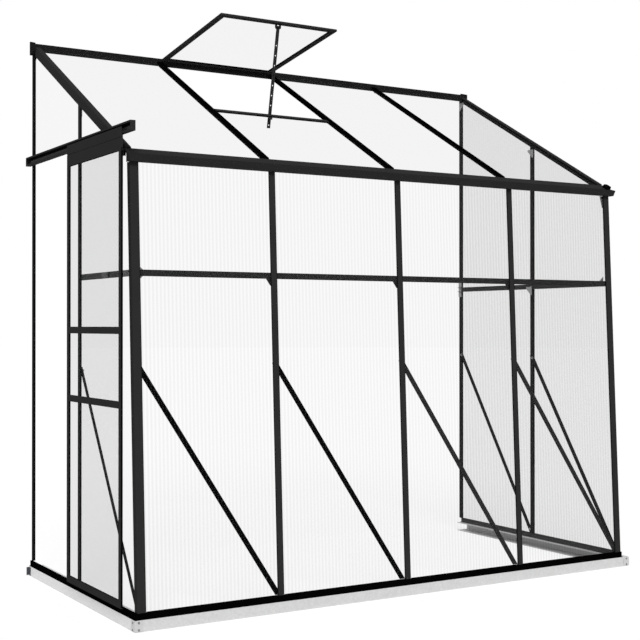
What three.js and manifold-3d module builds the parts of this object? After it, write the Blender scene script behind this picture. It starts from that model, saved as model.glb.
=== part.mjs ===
// Lean-to greenhouse: a glazed metal frame on a steel base, with a sliding door and a roof vent.
// Lengths are in millimetres. x runs along the wall from the middle of the frame, y goes from the
// front sill back to the wall, and z is the height above the ground.
import * as THREE from 'three';
import { mergeVertices } from 'three/addons/utils/BufferGeometryUtils.js';
import Module from 'manifold-3d';

const wasm = await Module();
wasm.setup();

// Whole frame
const frameLength = 2476;
const frameDepth = 1248;
const bayPitch = 620.4;
const eaveHeight = 1809.5;
const mullionY = 631;
const leanAngle = THREE.MathUtils.degToRad(2.642);
const roofAngle = THREE.MathUtils.degToRad(28.66);

// Fits
const clearance = 0.3;
const edgePlay = 0.5;
const overrun = 5;

// Glazing bars and the sheets they hold
const barWidth = 24.4;
const outerFlange = 1.6;
const sheetSlot = 4.8;
const innerFlange = 1.6;
const webWidth = 6;
const slotStop = 10;
const sheetThickness = 4;
const roofRise = 4.2;
const roofKeel = 4.3;

// Posts and rafters at the two ends
const postLeg = 33;
const postReturn = 28;
const leftRafterReturn = 35;
const rightRafterReturn = 28;
const wallPostDepth = 24.4;
const wallPostSlot = 10;

// Steel base
const baseHeight = 44.2;
const baseWall = 2;
const baseFlange = 66;
const rightBaseFlange = 70;
const baseFrontOut = 3;
const baseLeftOut = 11.9;
const baseRightOut = 46.8;
const baseBackGap = 1;
const bracketLeg = 32;
const bracketPlate = 2;
const bracketMargin = 2;
const screwRadius = 3.6;
const screwHead = 1.5;
const screwEdge = 15;
const screwLow = 8.5;
const screwHigh = 35.5;
const wallBracketReach = 13.3;
const wallBracketLeg = 22;
const wallBracketPlate = 2.5;
const wallBracketMargin = 4;

// Sills
const sillHeight = 25;
const sillDepth = 8.4;
const sillWall = 2;
const sillFrontLip = 3;
const sillSideLip = 4;
const sillProud = 7.2;
const wallInset = 0.6;

// Rails across the uprights, half way up
const railBottom = 1340;
const railHeight = 24.7;
const railDepth = 12;
const railWall = 2;
const gussetWidth = 20;
const gussetDrop = 28;
const gussetLap = 12;

// Diagonal braces
const braceWidth = 22;
const braceThickness = 3;
const braceFootGap = 2.5;
const frontBraceTop = 1000;
const leftBraceTop = 977;
const rightFrontBraceTop = 996;
const rightBackBraceTop = 1003;
const leftBraceInset = 22;
const rightBraceInset = 25;
const firstBraceSetback = 8.6;
const middleBraceSetback = 23.4;
const wallBraceInset = 16;
const sideBraceFootY = 22.6;

// Eave with its gutter
const eaveFaceHeight = 33.5;
const eavePocket = 12;
const eaveLeg = 50.5;
const eaveLegSolid = 20;
const gutterWall = 1.5;
const gutterDepth = 24.5;
const gutterFloor = 19;
const gutterFlare = 13;
const gutterLeftOver = 5.2;
const gutterRightOver = 13.2;
const eaveCap = 2;
const eaveCapReach = 50;

// Ridge
const ridgeDepth = 43;
const ridgeWall = 3;
const ridgeRise = 18;
const ridgeLap = 17.3;
const ridgeFall = 12;
const ridgeBackLeg = 37;
const ridgeCap = 12;
const ridgeCapLap = 5;
const ridgeCapHeight = 62;
const ridgeCapChamfer = 14;

// Door track
const trackHeight = 39.3;
const trackRise = 73;
const trackIn = 9;
const trackOut = 30.2;
const trackWall = 1.8;
const trackLip = 7;
const trackFront = 1;
const trackWallGap = 0.5;
const spacerWidth = 20;

// Sliding door
const doorOut = 34.2;
const doorFlange = 1.6;
const doorFront = 82.5;
const doorWidth = 600;
const doorBottom = 75;
const doorSlot = 10;
const bottomRailHeight = 28.5;
const lowerRailBottom = 833.6;
const upperRailBottom = 1118;
const doorRailHeight = 28;
const topRailDrop = 64;
const topRailHeight = 60;
const coverHeight = 89;
const coverPlate = 3;
const grooveHeight = 49;
const grooveWidth = 2.4;
const grooveDepth = 1.2;

// Door rollers
const rollerRadius = 14;
const rollerGroove = 2;
const rollerWidth = 9;
const rollerInset = 80;
const rollerSetback = 4;
const axleRadius = 3.5;
const axleOverhang = 2;

// Roof vent and its stay
const ventOpenAngle = THREE.MathUtils.degToRad(7.7);
const ventLength = 646.6;
const ventThickness = 9.6;
const ventOverlap = 2;
const ventLift = 5;
const ventGroove = 10;
const crossbarShow = 14;
const pegRadius = 3;
const pegLength = 12;
const pinSetback = 2.2;
const pinDrop = 14;
const pinRadius = 2.5;
const lugThickness = 3;
const lugHalf = 8;
const lugToe = 4;
const lugNose = 7;
const stayWidth = 16;
const stayThickness = 3;
const stayLength = 456;
const stayEye = 6;
const stayHole = 3.3;
const stayHolePitch = 45;
const stayEdge = 14;
const stayTilt = THREE.MathUtils.degToRad(11.5);

// Counts of sides and holes
const roundSides = 12;
const rollerSides = 24;
const noseSteps = 6;
const stayHoles = 9;

// Places worked out from the sizes above
const half = frameLength / 2;
const slotBack = outerFlange + sheetSlot;
const barDepth = slotBack + innerFlange;
const sheetFace = outerFlange + (sheetSlot - sheetThickness) / 2;
const sheetBack = sheetFace + sheetThickness;
const webHalf = webWidth / 2;
const sillBottom = baseHeight + clearance;
const sillTop = sillBottom + sillHeight;
const uprightFoot = sillTop + clearance;
const eaveBottom = eaveHeight - eaveFaceHeight;
const wallY = (z) => wallInset + (z - sillTop) * Math.tan(leanAngle);
const eaveY = wallY(eaveHeight);
const roofZ = (y, lift) => eaveHeight + (y - eaveY) * Math.tan(roofAngle) + lift / Math.cos(roofAngle);
const barXs = [-bayPitch, 0, bayPitch];
const rafterReturn = { left: leftRafterReturn, right: rightRafterReturn };
const ridgeFrontY = frameDepth - ridgeDepth;
const ridgeFrontTop = roofZ(ridgeFrontY, 0) + ridgeRise;
const ridgeFrontBottom = roofZ(ridgeFrontY, 0) - ridgeLap;
const ridgeTop = ridgeFrontTop + ridgeFall;
const ridgeBackBottom = ridgeTop - ridgeBackLeg;
const wallPostTop = ridgeBackBottom - clearance;
const wallPostMiddle = frameDepth - wallPostDepth / 2;
const innerFace = barDepth + clearance;
const ventRadius = ventThickness / 2;
const ventHalf = (bayPitch - barWidth) / 2 + ventOverlap;
const ventX = -bayPitch / 2;
const pinReach = ventLength - barWidth - pinSetback;
const ventPivotLift = roofRise + ventLift + ventRadius;
const ventPivotY = ridgeFrontY - clearance - ventRadius;
const ventPivotZ = roofZ(ventPivotY, ventPivotLift);
const ventPivotRun = (ventPivotY - eaveY + ventPivotLift * Math.sin(roofAngle)) / Math.cos(roofAngle);
const crossbarRun = ventPivotRun - ventLength - crossbarShow;
const doorBack = doorFront + doorWidth;
const doorDepth = doorFlange + sheetSlot + doorFlange;
const doorInner = doorOut - doorDepth;
const doorSheetIn = doorInner + doorFlange + (sheetSlot - sheetThickness) / 2;
const trackBottom = eaveHeight + trackRise;
const topRailBottom = trackBottom - topRailDrop;
const rollerZ = trackBottom + trackWall + clearance + rollerRadius;
const rollerIn = trackIn + trackWall + rollerSetback;
const trackBack = frameDepth - trackWallGap;
const trackMiddle = trackBottom + trackHeight / 2;

// Colours of the finishes
const frameFinish = { color: '#2d2d2d', roughness: 0.55, metalness: 0.4 };
const steelFinish = { color: '#c9cacb', roughness: 0.45, metalness: 0.7 };
const bracketFinish = { color: '#b4b6b8', roughness: 0.4, metalness: 0.8 };
const sheetFinish = { color: '#eef1f2', roughness: 0.25, metalness: 0, transparent: true, opacity: 0.5 };
const rollerFinish = { color: '#3a3a3a', roughness: 0.6, metalness: 0 };

// Turns the triangles round where a mirrored outline has left them facing inwards
function faceOut(geometry) {
  const at = geometry.getAttribute('position');
  const corner = [new THREE.Vector3(), new THREE.Vector3(), new THREE.Vector3()];
  let volume = 0;
  for (let i = 0; i < at.count; i += 3) {
    corner.forEach((point, k) => point.fromBufferAttribute(at, i + k));
    volume += corner[0].dot(corner[1].cross(corner[2]));
  }
  if (volume < 0) {
    for (let i = 0; i < at.count; i += 3) {
      corner[0].fromBufferAttribute(at, i + 1);
      corner[1].fromBufferAttribute(at, i + 2);
      at.setXYZ(i + 1, corner[1].x, corner[1].y, corner[1].z);
      at.setXYZ(i + 2, corner[0].x, corner[0].y, corner[0].z);
    }
  }
  geometry.computeVertexNormals();
  return geometry;
}

// Carries an outline from one end to the other; either end may be a length or follow the outline
function prism(outline, start, end, place, holes = []) {
  const toPath = (points) => points.map(([u, v]) => new THREE.Vector2(u, v));
  const shape = new THREE.Shape(toPath(outline));
  shape.holes = holes.map((hole) => new THREE.Path(toPath(hole)));
  const geometry = new THREE.ExtrudeGeometry(shape, { depth: 1, bevelEnabled: false });
  const at = geometry.getAttribute('position');
  for (let i = 0; i < at.count; i += 1) {
    const u = at.getX(i);
    const v = at.getY(i);
    const reach = at.getZ(i) > 0 ? end : start;
    const along = typeof reach === 'function' ? reach(u, v) : reach;
    at.setXYZ(i, ...place(u, v, along));
  }
  return faceOut(geometry);
}

const alongX = (u, v, along) => [along, u, v];
const alongY = (u, v, along) => [u, along, v];
const alongZ = (u, v, along) => [u, v, along];

function block(low, high) {
  const outline = rectangle(low[0], low[1], high[0], high[1]);
  return prism(outline, low[2], high[2], alongZ);
}

function rectangle(u0, v0, u1, v1) {
  return [[u0, v0], [u1, v0], [u1, v1], [u0, v1]];
}

function circle(u, v, radius) {
  const turn = (k) => (k / roundSides) * 2 * Math.PI;
  const sides = Array.from({ length: roundSides }, (_, k) => turn(k));
  return sides.map((a) => [u + radius * Math.cos(a), v + radius * Math.sin(a)]);
}

function solid(geometry) {
  const bare = geometry.clone();
  bare.deleteAttribute('normal');
  bare.deleteAttribute('uv');
  const merged = mergeVertices(bare);
  const vertProperties = new Float32Array(merged.getAttribute('position').array);
  const triVerts = new Uint32Array(merged.getIndex().array);
  return new wasm.Manifold(new wasm.Mesh({ numProp: 3, vertProperties, triVerts }));
}

function surface(body) {
  const mesh = body.getMesh();
  const geometry = new THREE.BufferGeometry();
  geometry.setAttribute('position', new THREE.BufferAttribute(mesh.vertProperties, 3));
  geometry.setIndex(new THREE.BufferAttribute(mesh.triVerts, 1));
  return geometry;
}

function joined(first, ...others) {
  return surface(others.reduce((body, other) => body.add(solid(other)), solid(first)));
}

function cutBy(first, ...others) {
  return surface(others.reduce((body, other) => body.subtract(solid(other)), solid(first)));
}

function piece(name, geometry, finish, parent) {
  const mesh = new THREE.Mesh(geometry, new THREE.MeshStandardMaterial(finish));
  mesh.name = name;
  parent.add(mesh);
  return mesh;
}

// Outlines of the bars, from the outer face inwards; on the roof they rise above it
function barOutline(rise = 0, keel = 0) {
  const w = barWidth / 2;
  return [
    [-w, -rise], [w, -rise], [w, outerFlange], [webHalf, outerFlange],
    [webHalf, slotBack], [w, slotBack], [w, barDepth + keel], [-w, barDepth + keel],
    [-w, slotBack], [-webHalf, slotBack], [-webHalf, outerFlange], [-w, outerFlange],
  ];
}

function cornerOutline(leg, back, rise = 0) {
  return [
    [0, -rise], [leg, -rise], [leg, outerFlange], [slotStop, outerFlange],
    [slotStop, slotBack], [leg, slotBack], [leg, barDepth], [barDepth, barDepth],
    [barDepth, back], [slotBack, back], [slotBack, slotStop], [outerFlange, slotStop],
    [outerFlange, back], [0, back],
  ];
}

function channelOutline(depth, height, wall) {
  return [
    [0, 0], [depth, 0], [depth, wall], [wall, wall],
    [wall, height - wall], [depth, height - wall], [depth, height], [0, height],
  ];
}

function sillOutline(lip) {
  return [
    [-lip, 0], [sillDepth, 0], [sillDepth, sillWall], [sillWall, sillWall],
    [sillWall, sillHeight - sillWall], [sillDepth, sillHeight - sillWall],
    [sillDepth, sillHeight], [0, sillHeight], [0, sillWall], [-lip, sillWall],
  ];
}

// Base of three channels, mitred at the front corners, with a bracket to the wall at the left
const ends = [['left', -1], ['right', 1]];

function base(parent) {
  const front = channelOutline(baseFlange, baseHeight, baseWall);
  const left = (u) => -half - baseLeftOut + u;
  const right = (u) => half + baseRightOut - u;
  const placeFront = (u, v, along) => [along, u - baseFrontOut, v];
  piece('base_front', prism(front, left, right, placeFront), steelFinish, parent);
  const back = frameDepth - baseBackGap;
  const mitre = (u) => u - baseFrontOut + clearance * Math.SQRT2;
  const leftRun = prism(front, mitre, back, (u, v, along) => [left(u), along, v]);
  const low = wallBracketMargin;
  const high = baseHeight - wallBracketMargin;
  const wallLeg = block(
    [left(-wallBracketReach), back - wallBracketPlate, low], [left(baseWall), back, high],
  );
  const sideLeg = block(
    [left(-wallBracketPlate), back - wallBracketLeg, low], [left(baseWall / 2), back, high],
  );
  piece('base_left', joined(leftRun, wallLeg, sideLeg), steelFinish, parent);
  const side = channelOutline(rightBaseFlange, baseHeight, baseWall);
  const rightRun = prism(side, mitre, back, (u, v, along) => [right(u), along, v]);
  piece('base_right', rightRun, steelFinish, parent);
}

// Angle plates over the front corners of the base, with their screw heads
function baseCorner(name, side, faceX, parent) {
  const inner = clearance;
  const outer = clearance + bracketPlate;
  const outline = [
    [-outer, -outer], [bracketLeg, -outer], [bracketLeg, -inner],
    [-inner, -inner], [-inner, bracketLeg], [-outer, bracketLeg],
  ];
  const place = (u, v, along) => [faceX - side * u, v - baseFrontOut, along];
  const plate = prism(outline, bracketMargin, baseHeight - bracketMargin, place);
  const head = outer + screwHead;
  const heads = [screwLow, screwHigh].flatMap((z) => {
    const round = circle(screwEdge, z, screwRadius);
    const sunk = -inner - bracketPlate / 2;
    return [
      prism(round, -head, sunk, (u, v, along) => place(u, along, v)),
      prism(round, -head, sunk, (u, v, along) => place(along, u, v)),
    ];
  });
  piece(name, joined(plate, ...heads), bracketFinish, parent);
}

function sills(parent) {
  const reach = half + sillProud;
  const front = sillOutline(sillFrontLip);
  const up = (v) => sillBottom + v;
  const placeFront = (u, v, along) => [along, u, up(v)];
  piece('sill_front', prism(front, (u) => u - reach, (u) => reach - u, placeFront), frameFinish, parent);
  const mitre = (u) => u + clearance * Math.SQRT2;
  ends.forEach(([name, side]) => {
    const place = (u, v, along) => [side * (reach - u), along, up(v)];
    const run = prism(sillOutline(sillSideLip), mitre, frameDepth - clearance, place);
    piece(`sill_${name}`, run, frameFinish, parent);
  });
}

// Uprights: leaning at the front, plumb at the ends and against the wall
const leaning = (x) => (u, v, along) => [x(u), wallY(along) + v, along];

function uprights(parent) {
  const top = eaveBottom - clearance;
  ends.forEach(([name, side]) => {
    const corner = cornerOutline(postLeg, postReturn);
    const place = leaning((u) => side * (half - u));
    piece(`corner_post_${name}`, prism(corner, uprightFoot, top, place), frameFinish, parent);
    const slot = wallPostDepth - wallPostSlot;
    const wall = [
      [0, 0], [barDepth, 0], [barDepth, wallPostDepth], [slotBack, wallPostDepth],
      [slotBack, slot], [outerFlange, slot], [outerFlange, wallPostDepth], [0, wallPostDepth],
    ];
    const atWall = (u, v, along) => [side * (half - u), frameDepth - v, along];
    piece(`wall_post_${name}`, prism(wall, uprightFoot, wallPostTop, atWall), frameFinish, parent);
    const underRafter = (u) => roofZ(mullionY + u, -rafterReturn[name] - clearance);
    const atEnd = (u, v, along) => [side * (half - v), mullionY + u, along];
    piece(`mullion_${name}`, prism(barOutline(), uprightFoot, underRafter, atEnd), frameFinish, parent);
  });
  barXs.forEach((x, k) => {
    const bar = prism(barOutline(), uprightFoot, top, leaning((u) => x + u));
    piece(`front_bar_${k + 1}`, bar, frameFinish, parent);
  });
}

function rails(parent) {
  const railTop = railBottom + railHeight;
  const outline = channelOutline(railDepth, railHeight, railWall);
  const frontY = wallY(railTop) + innerFace;
  const reach = half - innerFace;
  const front = prism(outline, -reach, reach, (u, v, along) => [along, frontY + u, railBottom + v]);
  const gussets = barXs.map((x) => {
    const edge = x - barWidth / 2;
    const middle = railBottom + railHeight / 2;
    const outline = [
      [edge - gussetWidth, railBottom], [edge, railBottom - gussetDrop],
      [edge + gussetLap, railBottom - gussetDrop], [edge + gussetLap, middle],
      [edge - gussetWidth, middle],
    ];
    return prism(outline, frontY, frontY + railWall, alongY);
  });
  piece('mid_rail_front', joined(front, ...gussets), frameFinish, parent);
  const start = frontY + railDepth + clearance;
  const stops = { left: mullionY + barWidth / 2, right: frameDepth };
  ends.forEach(([name, side]) => {
    const place = (u, v, along) => [side * (reach - u), along, railBottom + v];
    piece(`mid_rail_${name}`, prism(outline, start, stops[name], place), frameFinish, parent);
  });
}

// A flat strip between two points, cut level at both ends
function strip(top, foot) {
  const run = Math.hypot(foot[0] - top[0], foot[1] - top[1]);
  const across = ((braceWidth / 2) * run) / Math.abs(foot[1] - top[1]);
  return [
    [top[0] - across, top[1]], [top[0] + across, top[1]],
    [foot[0] + across, foot[1]], [foot[0] - across, foot[1]],
  ];
}

function braces(parent) {
  const foot = uprightFoot + braceFootGap;
  const tops = [-half + leftBraceInset, ...barXs];
  const [firstBar, ...otherBars] = barXs;
  const feet = [
    firstBar - firstBraceSetback,
    ...otherBars.map((x) => x - middleBraceSetback),
    half - rightBraceInset,
  ];
  const near = (u, v) => wallY(v) + innerFace;
  const far = (u, v) => near(u, v) + braceThickness;
  tops.forEach((x, k) => {
    const outline = strip([x, frontBraceTop], [feet[k], foot]);
    piece(`brace_front_${k + 1}`, prism(outline, near, far, alongY), frameFinish, parent);
  });
  const sides = [
    ['brace_left', -1, [mullionY, leftBraceTop], [sideBraceFootY, foot]],
    ['brace_right_front', 1, [mullionY, rightFrontBraceTop], [sideBraceFootY, foot]],
    ['brace_right_back', 1, [frameDepth - wallBraceInset, rightBackBraceTop], [mullionY, foot]],
  ];
  sides.forEach(([name, side, from, to]) => {
    const outer = side * (half - innerFace);
    const run = prism(strip(from, to), outer, outer - side * braceThickness, alongX);
    piece(name, run, frameFinish, parent);
  });
}

// The eave: a face over the front sheets, a leg up the roof and a gutter in front
const roofPoint = (run, lift) => [
  eaveY + run * Math.cos(roofAngle) - lift * Math.sin(roofAngle),
  eaveHeight + run * Math.sin(roofAngle) + lift * Math.cos(roofAngle),
];

function gutterPoints() {
  const floorFront = wallY(eaveBottom) - gutterFloor;
  const lip = [floorFront - gutterFlare, eaveBottom + gutterDepth];
  return { lip, floor: [floorFront, eaveBottom] };
}

function eaveOutline() {
  const { lip, floor } = gutterPoints();
  const pocketTop = eaveBottom + eavePocket;
  const backY = wallY(eaveBottom) + barDepth;
  const backRun = (backY - eaveY - barDepth * Math.sin(roofAngle)) / Math.cos(roofAngle);
  return [
    lip, floor,
    [wallY(eaveBottom) + outerFlange, eaveBottom],
    [wallY(pocketTop) + outerFlange, pocketTop],
    [wallY(pocketTop) + slotBack, pocketTop],
    [wallY(eaveBottom) + slotBack, eaveBottom],
    [backY, eaveBottom],
    roofPoint(backRun, -barDepth),
    roofPoint(eaveLeg, -barDepth),
    roofPoint(eaveLeg, -slotBack),
    roofPoint(eaveLegSolid, -slotBack),
    roofPoint(eaveLegSolid, -outerFlange),
    roofPoint(eaveLeg, -outerFlange),
    roofPoint(eaveLeg, 0),
    roofPoint(0, 0),
    [wallY(eaveBottom + gutterWall), eaveBottom + gutterWall],
    [floor[0] + gutterWall / 2, floor[1] + gutterWall],
    [lip[0] + gutterWall, lip[1]],
  ];
}

function eave(parent) {
  const { lip, floor } = gutterPoints();
  const left = -half - gutterLeftOver;
  const right = half + gutterRightOver;
  const run = prism(eaveOutline(), left, right, alongX);
  const back = lip[0] + eaveCapReach;
  const outline = [lip, floor, [back, eaveBottom], [back, roofZ(back, 0)], roofPoint(0, 0)];
  const leftCap = prism(outline, left - eaveCap, left, alongX);
  const rightCap = prism(outline, right, right + eaveCap, alongX);
  piece('eave_gutter', joined(run, leftCap, rightCap), frameFinish, parent);
}

function ridge(parent) {
  const outline = [
    [frameDepth, ridgeTop], [ridgeFrontY, ridgeFrontTop], [ridgeFrontY, ridgeFrontBottom],
    [ridgeFrontY + ridgeWall, ridgeFrontBottom],
    [ridgeFrontY + ridgeWall, ridgeFrontTop - ridgeWall],
    [frameDepth - ridgeWall, ridgeTop - ridgeWall * 2],
    [frameDepth - ridgeWall, ridgeBackBottom], [frameDepth, ridgeBackBottom],
  ];
  const reach = half + clearance;
  const run = prism(outline, -reach, reach, alongX);
  const capTop = ridgeTop + ridgeCapLap;
  const capBottom = capTop - ridgeCapHeight;
  const capFront = ridgeFrontY - ridgeCapLap;
  const cap = [
    [capFront + ridgeCapChamfer, capBottom], [frameDepth, capBottom], [frameDepth, capTop],
    [frameDepth - ridgeCapLap, capTop], [capFront, ridgeFrontTop + ridgeCapLap],
    [capFront, capBottom + ridgeCapChamfer],
  ];
  const caps = [[-reach - ridgeCap, -reach], [reach, reach + ridgeCap]];
  const capPieces = caps.map(([from, to]) => prism(cap, from, to, alongX));
  piece('ridge', joined(run, ...capPieces), frameFinish, parent);
}

// Roof pieces lie in a frame turned to the slope: y is the run from the eave, z the lift off it
const ridgeCut = (u, v) => {
  const level = ridgeFrontY - clearance - eaveY;
  return (level + v * Math.sin(roofAngle)) / Math.cos(roofAngle);
};

function roof(parent) {
  const slope = new THREE.Group();
  slope.position.set(0, eaveY, eaveHeight);
  slope.rotation.x = roofAngle;
  parent.add(slope);
  const start = eaveLeg + clearance;
  const below = (outline) => outline.map(([u, v]) => [u, -v]);
  ends.forEach(([name, side]) => {
    const outline = below(cornerOutline(barWidth, rafterReturn[name], roofRise));
    const place = (u, v, along) => [side * (half - u), along, v];
    piece(`rafter_${name}`, prism(outline, start, ridgeCut, place), frameFinish, slope);
  });
  barXs.forEach((x, k) => {
    const place = (u, v, along) => [x + u, along, v];
    const run = prism(below(barOutline(roofRise, roofKeel)), start, ridgeCut, place);
    piece(`roof_bar_${k + 1}`, run, frameFinish, slope);
  });
  crossbar(slope);
  roofSheets(slope);
}

function crossbar(slope) {
  const top = crossbarRun + barWidth;
  const slot = crossbarRun + slotStop;
  const outline = [
    [crossbarRun, 0], [top, 0], [top, -barDepth], [crossbarRun, -barDepth],
    [crossbarRun, -slotBack], [slot, -slotBack], [slot, -outerFlange], [crossbarRun, -outerFlange],
  ];
  const reach = (bayPitch - barWidth) / 2 - clearance;
  const run = prism(outline, ventX - reach, ventX + reach, alongX);
  const pegRound = circle(ventX, crossbarRun + slotStop, pegRadius);
  const peg = prism(pegRound, -barDepth - pegLength, -barDepth + innerFlange / 2, alongZ);
  piece('vent_crossbar', joined(run, peg), frameFinish, slope);
}

const bayEdges = [-half + slotStop, ...barXs.flatMap((x) => [x - webHalf, x + webHalf]), half - slotStop];

function roofSheets(slope) {
  const start = eaveLegSolid + edgePlay;
  const shortEnd = crossbarRun + slotStop - edgePlay;
  [0, 1, 2, 3].forEach((bay) => {
    const left = bayEdges[bay * 2] + edgePlay;
    const right = bayEdges[bay * 2 + 1] - edgePlay;
    const outline = rectangle(left, -sheetBack, right, -sheetFace);
    const end = bay === 1 ? shortEnd : ridgeCut;
    piece(`roof_sheet_${bay + 1}`, prism(outline, start, end, alongY), sheetFinish, slope);
  });
}

// Sheets of the front wall and of the two ends
function frontSheets(parent) {
  const top = eaveBottom + eavePocket - edgePlay;
  [0, 1, 2, 3].forEach((bay) => {
    const left = bayEdges[bay * 2] + edgePlay;
    const right = bayEdges[bay * 2 + 1] - edgePlay;
    const outline = rectangle(left, sheetFace, right, sheetBack);
    const sheet = prism(outline, uprightFoot, top, leaning((u) => u));
    piece(`front_sheet_${bay + 1}`, sheet, sheetFinish, parent);
  });
}

function endSheets(parent) {
  const lift = -slotStop - edgePlay;
  const frontEdge = slotStop + edgePlay;
  const frontY = (z) => wallY(z) + frontEdge;
  const slopeZ = (y) => roofZ(y, lift);
  const tie = Math.tan(leanAngle) * Math.tan(roofAngle);
  const cornerZ = (slopeZ(frontY(0))) / (1 - tie);
  const mullionFront = mullionY - webHalf - edgePlay;
  const mullionBack = mullionY + webHalf + edgePlay;
  const wallEdge = frameDepth - wallPostDepth + wallPostSlot - edgePlay;
  const peakZ = ridgeFrontBottom - clearance;
  const peakY = eaveY + (peakZ - slopeZ(eaveY)) / Math.tan(roofAngle);
  const doorHead = trackBottom + trackHeight / 4;
  const feet = { left: doorHead, right: uprightFoot };
  ends.forEach(([name, side]) => {
    const outer = side * (half - sheetFace);
    const inner = side * (half - sheetBack);
    const front = [
      [frontY(uprightFoot), uprightFoot], [mullionFront, uprightFoot],
      [mullionFront, slopeZ(mullionFront)], [frontY(cornerZ), cornerZ],
    ];
    piece(`end_sheet_${name}_front`, prism(front, outer, inner, alongX), sheetFinish, parent);
    const back = [
      [mullionBack, feet[name]], [wallEdge, feet[name]], [wallEdge, peakZ],
      [peakY, peakZ], [mullionBack, slopeZ(mullionBack)],
    ];
    piece(`end_sheet_${name}_back`, prism(back, outer, inner, alongX), sheetFinish, parent);
  });
}

// Track of the sliding door, open outwards between its two lips, held off the frame by spacers
const outward = (u, v, along) => [-half - u, along, v];

function track(parent) {
  const out = trackOut;
  const back = trackIn;
  const top = trackBottom + trackHeight;
  const floor = trackBottom + trackWall;
  const ceiling = top - trackWall;
  const outline = [
    [back, trackBottom], [out, trackBottom], [out, trackBottom + trackLip],
    [out - trackWall, trackBottom + trackLip], [out - trackWall, floor],
    [back + trackWall, floor], [back + trackWall, ceiling], [out - trackWall, ceiling],
    [out - trackWall, top - trackLip], [out, top - trackLip], [out, top], [back, top],
  ];
  const run = prism(outline, trackFront, trackBack, outward);
  const plate = rectangle(back, trackBottom, out, top);
  const frontStop = prism(plate, trackFront, trackFront + trackWall, outward);
  const backStop = prism(plate, trackBack - trackWall, trackBack, outward);
  const rafterRise = trackMiddle - roofZ(eaveY, -rafterReturn.left / 2);
  const rafterY = eaveY + rafterRise / Math.tan(roofAngle);
  const spacers = [rafterY, mullionY, wallPostMiddle].map((y) => {
    const reach = spacerWidth / 2;
    const seat = rectangle(clearance, trackMiddle - reach, back + trackWall / 2, trackMiddle + reach);
    return prism(seat, y - reach, y + reach, outward);
  });
  piece('door_track', joined(run, frontStop, backStop, ...spacers), frameFinish, parent);
}

// The door: two stiles, four rails and one sheet, hung from two rollers
function door(parent) {
  const doorSlotIn = doorInner + doorFlange;
  const doorSlotOut = doorOut - doorFlange;
  const stile = (edge, inwards) => [
    [doorInner, edge], [doorOut, edge], [doorOut, edge + inwards * barWidth],
    [doorSlotOut, edge + inwards * barWidth], [doorSlotOut, edge + inwards * (barWidth - doorSlot)],
    [doorSlotIn, edge + inwards * (barWidth - doorSlot)], [doorSlotIn, edge + inwards * barWidth],
    [doorInner, edge + inwards * barWidth],
  ];
  const upright = (u, v, along) => [-half - u, v, along];
  const stileTop = topRailBottom - clearance;
  const stiles = [['front', doorFront, 1], ['back', doorBack, -1]];
  stiles.forEach(([name, edge, inwards]) => {
    const run = prism(stile(edge, inwards), doorBottom, stileTop, upright);
    piece(`door_stile_${name}`, run, frameFinish, parent);
  });
  const from = doorFront + barWidth + clearance;
  const to = doorBack - barWidth - clearance;
  const bottomTop = doorBottom + bottomRailHeight;
  const bottom = [
    [doorInner, doorBottom], [doorOut, doorBottom], [doorOut, bottomTop], [doorSlotOut, bottomTop],
    [doorSlotOut, bottomTop - doorSlot], [doorSlotIn, bottomTop - doorSlot],
    [doorSlotIn, bottomTop], [doorInner, bottomTop],
  ];
  piece('door_rail_bottom', prism(bottom, from, to, outward), frameFinish, parent);
  const railIn = doorSheetIn + sheetThickness + clearance;
  const middles = [['lower', lowerRailBottom], ['upper', upperRailBottom]];
  middles.forEach(([name, z]) => {
    const outline = rectangle(railIn, z, doorOut, z + doorRailHeight);
    piece(`door_rail_${name}`, prism(outline, from, to, outward), frameFinish, parent);
  });
  doorTop(parent, doorSlotIn, doorSlotOut);
  const sheet = block(
    [-half - doorSheetIn - sheetThickness, doorFront + barWidth - doorSlot + edgePlay,
      bottomTop - doorSlot + edgePlay],
    [-half - doorSheetIn, doorBack - barWidth + doorSlot - edgePlay,
      topRailBottom + doorSlot - edgePlay],
  );
  piece('door_sheet', sheet, sheetFinish, parent);
}

const rollerYs = [['front', doorFront + rollerInset], ['back', doorBack - rollerInset]];

function doorTop(parent, slotIn, slotOut) {
  const topRailTop = topRailBottom + topRailHeight;
  const coverTop = topRailBottom + coverHeight;
  const groove = topRailBottom + grooveHeight;
  const outline = [
    [doorInner, topRailBottom], [slotIn, topRailBottom], [slotIn, topRailBottom + doorSlot],
    [slotOut, topRailBottom + doorSlot], [slotOut, topRailBottom], [doorOut, topRailBottom],
    [doorOut, groove - grooveWidth / 2], [doorOut - grooveDepth, groove - grooveWidth / 2],
    [doorOut - grooveDepth, groove + grooveWidth / 2], [doorOut, groove + grooveWidth / 2],
    [doorOut, coverTop], [doorOut - coverPlate, coverTop], [doorOut - coverPlate, topRailTop],
    [doorInner, topRailTop],
  ];
  const rail = prism(outline, doorFront, doorBack, outward);
  const tip = rollerIn - axleOverhang;
  const root = doorOut - coverPlate / 2;
  const axles = rollerYs.map(([, y]) => prism(
    circle(y, rollerZ, axleRadius), tip, root, (u, v, along) => [-half - along, u, v],
  ));
  piece('door_rail_top', joined(rail, ...axles), frameFinish, parent);
}

function rollers(parent) {
  const bore = axleRadius + clearance;
  const w = rollerWidth / 2;
  const profile = [
    [bore, -w], [rollerRadius, -w], [rollerRadius - rollerGroove, 0], [rollerRadius, w],
    [bore, w], [bore, -w],
  ];
  rollerYs.forEach(([name, y]) => {
    const points = profile.map(([r, h]) => new THREE.Vector2(r, h));
    const wheel = new THREE.LatheGeometry(points, rollerSides).toNonIndexed();
    const mesh = piece(`roller_${name}`, faceOut(wheel), rollerFinish, parent);
    mesh.rotation.z = Math.PI / 2;
    mesh.position.set(-half - rollerIn - w, y, rollerZ);
  });
}

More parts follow.
